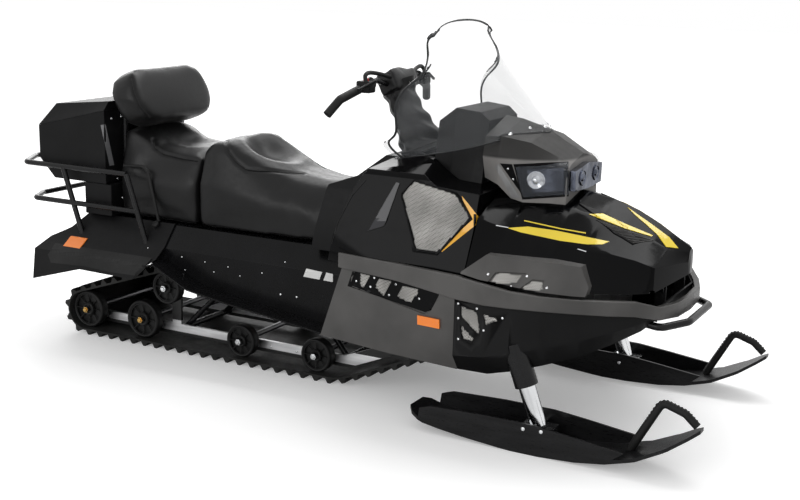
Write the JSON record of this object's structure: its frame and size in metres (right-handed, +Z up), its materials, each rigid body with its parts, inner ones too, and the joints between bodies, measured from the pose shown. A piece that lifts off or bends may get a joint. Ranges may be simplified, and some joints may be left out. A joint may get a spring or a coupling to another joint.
{
  "type": "snowmobile",
  "caption": "Utility snowmobile for two riders, with tilting hood, clear screen, long wide track, steered skis, padded backrest and a rear trunk with a hinged lid.",
  "frame": {"origin": "on the ground, under the middle of the overall box", "axes": "+X forward, +Y to the rider's left, +Z up"},
  "size_m": [3.299, 1.168, 1.4762],
  "materials": {
    "steel": "dull steel",
    "black_vinyl": "fine grained black vinyl",
    "satin_black": "satin moulded black plastic",
    "band_grey": "grained dark grey plastic",
    "gloss_black": "deep gloss black",
    "charcoal": "matte charcoal plastic",
    "cast_grey": "plain cast",
    "black_tube": "satin black powder coat",
    "black_rubber": "black rubber",
    "clear_lens": "clear lens",
    "clear_screen": "clear sheet",
    "mesh_grey": "fine silver-grey mesh",
    "orange_lens": "orange reflector",
    "red_lens": "red lamp lens",
    "wheel_black": "black wheel with rubber rim",
    "painted_black": "black painted sheet",
    "yellow_spring": "orange-yellow enamel",
    "ski_black": "scuffed black plastic",
    "alloy": "bare alloy",
    "zinc": "bright zinc",
    "track_rubber": "black track rubber"
  },
  "bodies": {
    "root": {"axles": "steel", "backrest_pad": "black_vinyl", "belly_pan": "satin_black", "bumper_band": "band_grey", "console": "gloss_black", "dashboard": "charcoal", "driver_seat": "black_vinyl", "engine_block": "cast_grey", "front_bumper": "black_tube", "grab_straps": "black_rubber", "handlebar_boot": "black_rubber", "hex_grilles": "mesh_grey", "passenger_seat": "black_vinyl", "rack_frame": "black_tube", "rear_fender": "satin_black", "rear_tank": "satin_black", "reflectors": "orange_lens", "road_wheels": "wheel_black", "running_boards": "painted_black", "shock_absorber": "yellow_spring", "side_panels": "charcoal", "slide_rails": "alloy", "strut_sleeves": "black_tube", "suspension_arms": "black_tube", "tail_lamp": "red_lens", "tank_cover": "satin_black", "tow_hitch": "black_tube", "track": "track_rubber", "trunk_box": "satin_black", "tunnel": "painted_black"},
    "steering": {"handlebar": "black_tube", "handlebar_grips": "black_rubber", "handlebar_controls": "satin_black", "handlebar_pad": "black_vinyl"},
    "ski_right_body": {"ski_right": "ski_black", "ski_loop_right": "black_rubber", "strut_right": "zinc"},
    "ski_left_body": {"ski_left": "ski_black", "ski_loop_left": "black_rubber", "strut_left": "zinc"},
    "hood_body": {"hood": "gloss_black", "hood_vents": "satin_black", "side_scoops": "charcoal", "lamp_pod": "charcoal", "headlamp_lens": "clear_lens", "windscreen": "clear_screen"},
    "lid_body": {"trunk_lid": "satin_black"}
  },
  "joints": [
    {"name": "steering_turn", "type": "hinge", "parent": "root", "child": "steering", "pos_m": [0.33, 0, 0.96], "axis": [-0.454, 0, 0.891], "range_deg": [-30, 30]},
    {"name": "ski_right_yaw", "type": "hinge", "parent": "root", "child": "ski_right_body", "pos_m": [1.063, -0.484, 0.078], "axis": [-0.3502, 0, 0.9367], "range_deg": [-25, 25]},
    {"name": "ski_left_yaw", "type": "hinge", "parent": "root", "child": "ski_left_body", "pos_m": [1.063, 0.484, 0.078], "axis": [-0.3502, 0, 0.9367], "range_deg": [-25, 25]},
    {"name": "hood_open", "type": "hinge", "parent": "root", "child": "hood_body", "pos_m": [1.37, 0, 0.56], "axis": [0, 1, 0], "range_deg": [0, 55]},
    {"name": "lid_open", "type": "hinge", "parent": "root", "child": "lid_body", "pos_m": [-1.49, 0, 0.938], "axis": [0, -1, 0], "range_deg": [0, 75]}
  ],
  "couplings": [
    {"joint": "ski_right_yaw", "follows": "steering_turn", "ratio": 0.8},
    {"joint": "ski_left_yaw", "follows": "steering_turn", "ratio": 0.8}
  ]
}
